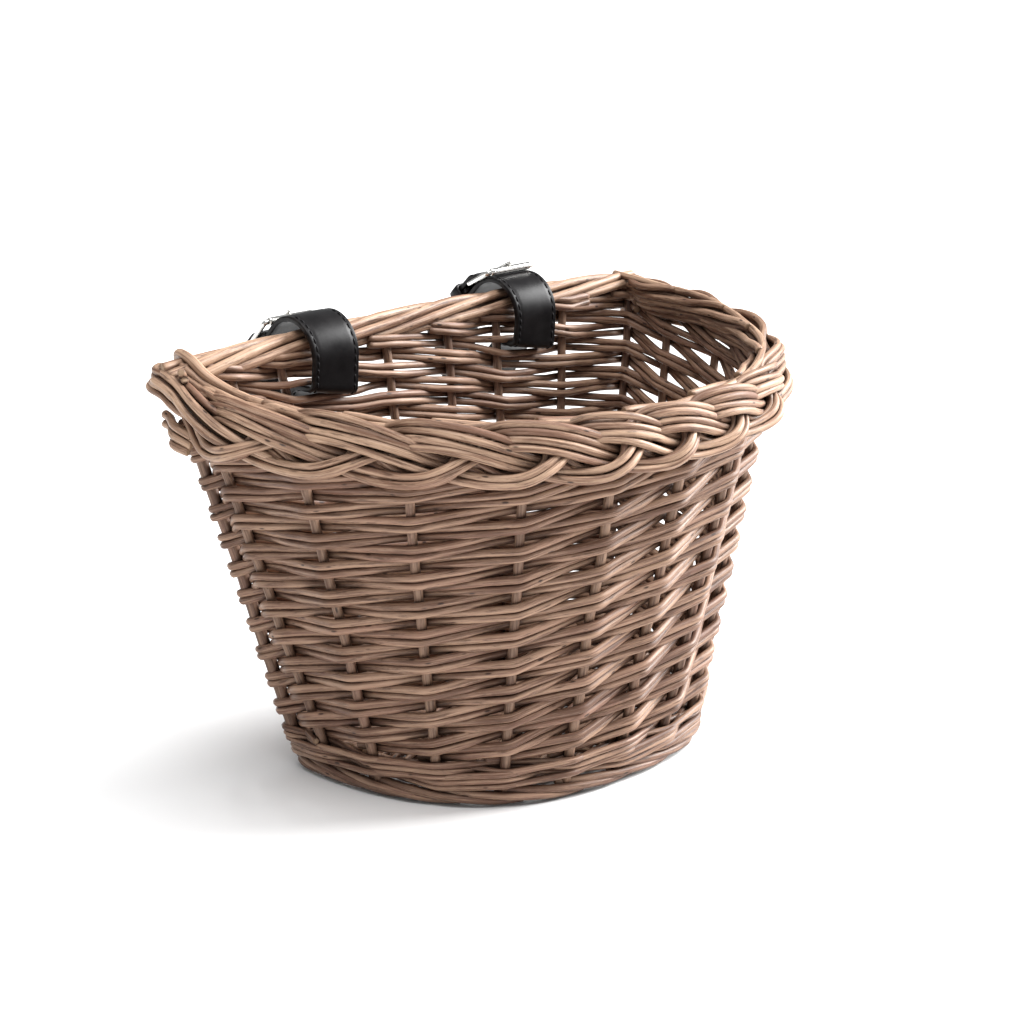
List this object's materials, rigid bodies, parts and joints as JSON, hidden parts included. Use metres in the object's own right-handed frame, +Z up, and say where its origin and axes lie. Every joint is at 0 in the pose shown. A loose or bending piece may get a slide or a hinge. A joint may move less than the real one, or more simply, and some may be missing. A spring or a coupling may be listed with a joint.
{
  "type": "handlebar basket",
  "caption": "Willow handlebar basket with a flat back, plaited front border, rolled back border, woven foot and buckled leather straps that loop round a handlebar.",
  "frame": {"origin": "middle of the object's outer box in X and Y, on the surface that the basket stands on", "axes": "+Z up, +X along the flat back, to the right when the curved front is looked at, +Y towards the handlebar, -Y towards the curved front"},
  "size_m": [0.3145, 0.2344, 0.2097],
  "materials": {
    "weave_willow": "peeled willow rods, dry and slightly glossy, with knots and streaks",
    "stake_willow": "peeled willow stakes, matt",
    "border_willow": "peeled willow rods, pale on top, slightly glossy",
    "strap_leather": "smooth black leather, satin",
    "seam_thread": "waxed black thread",
    "buckle_nickel": "polished nickel plate"
  },
  "bodies": {
    "basket": {"foot_border": "weave_willow", "upset_wale": "weave_willow", "floor_weave": "weave_willow", "side_weave": "weave_willow", "front_border": "weave_willow", "front_upright_01": "stake_willow", "front_upright_02": "stake_willow", "front_upright_03": "stake_willow", "front_upright_04": "stake_willow", "front_upright_05": "stake_willow", "front_upright_06": "stake_willow", "front_upright_07": "stake_willow", "front_upright_08": "stake_willow", "front_upright_09": "stake_willow", "front_upright_10": "stake_willow", "front_upright_11": "stake_willow", "back_upright_1": "stake_willow", "back_upright_2": "stake_willow", "back_upright_3": "stake_willow", "back_upright_4": "stake_willow", "back_upright_5": "stake_willow", "back_upright_6": "stake_willow", "back_upright_7": "stake_willow", "back_upright_8": "stake_willow", "base_stick_1": "stake_willow", "base_stick_2": "stake_willow", "base_stick_3": "stake_willow", "base_stick_4": "stake_willow", "base_stick_5": "stake_willow", "base_stick_6": "stake_willow", "base_stick_7": "stake_willow", "back_border_rod_1": "border_willow", "back_border_rod_2": "border_willow", "back_border_rod_3": "border_willow", "back_border_rod_4": "border_willow", "back_border_rod_5": "border_willow", "back_border_rod_6": "border_willow"},
    "left_strap": {"left_strap_band": "strap_leather", "left_strap_stitching": "seam_thread"},
    "left_keeper": {"left_strap_keeper": "strap_leather"},
    "left_buckle": {"left_buckle_frame": "buckle_nickel"},
    "left_roller": {"left_buckle_roller": "buckle_nickel"},
    "left_prong": {"left_buckle_prong": "buckle_nickel"},
    "right_strap": {"right_strap_band": "strap_leather", "right_strap_stitching": "seam_thread"},
    "right_keeper": {"right_strap_keeper": "strap_leather"},
    "right_buckle": {"right_buckle_frame": "buckle_nickel"},
    "right_roller": {"right_buckle_roller": "buckle_nickel"},
    "right_prong": {"right_buckle_prong": "buckle_nickel"}
  },
  "joints": [
    {"name": "left_strap_swing", "type": "hinge", "parent": "basket", "child": "left_strap", "pos_m": [-0.0625, 0.0724, 0.1885], "axis": [1, 0, 0], "range_deg": [-5, 5]},
    {"name": "left_keeper_slide", "type": "slide", "parent": "left_strap", "child": "left_keeper", "axis": [0, 0.7071, -0.7071], "range_m": [-0.002, 0.003]},
    {"name": "left_buckle_tilt", "type": "hinge", "parent": "left_strap", "child": "left_buckle", "pos_m": [-0.0625, 0.10013, 0.18627], "axis": [-1, 0, 0], "range_deg": [0, 8]},
    {"name": "left_roller_spin", "type": "hinge", "parent": "left_buckle", "child": "left_roller", "pos_m": [-0.0625, 0.08898, 0.19802], "axis": [1, 0, 0], "continuous": true},
    {"name": "left_prong_lift", "type": "hinge", "parent": "left_buckle", "child": "left_prong", "pos_m": [-0.0625, 0.10013, 0.18627], "axis": [-1, 0, 0], "range_deg": [0, 95]},
    {"name": "right_strap_swing", "type": "hinge", "parent": "basket", "child": "right_strap", "pos_m": [0.0625, 0.0724, 0.1885], "axis": [1, 0, 0], "range_deg": [-5, 5]},
    {"name": "right_keeper_slide", "type": "slide", "parent": "right_strap", "child": "right_keeper", "axis": [0, 0.7071, -0.7071], "range_m": [-0.002, 0.003]},
    {"name": "right_buckle_tilt", "type": "hinge", "parent": "right_strap", "child": "right_buckle", "pos_m": [0.0625, 0.08882, 0.19759], "axis": [-1, 0, 0], "range_deg": [0, 8]},
    {"name": "right_roller_spin", "type": "hinge", "parent": "right_buckle", "child": "right_roller", "pos_m": [0.0625, 0.07458, 0.20532], "axis": [1, 0, 0], "continuous": true},
    {"name": "right_prong_lift", "type": "hinge", "parent": "right_buckle", "child": "right_prong", "pos_m": [0.0625, 0.08882, 0.19759], "axis": [-1, 0, 0], "range_deg": [0, 95]}
  ]
}
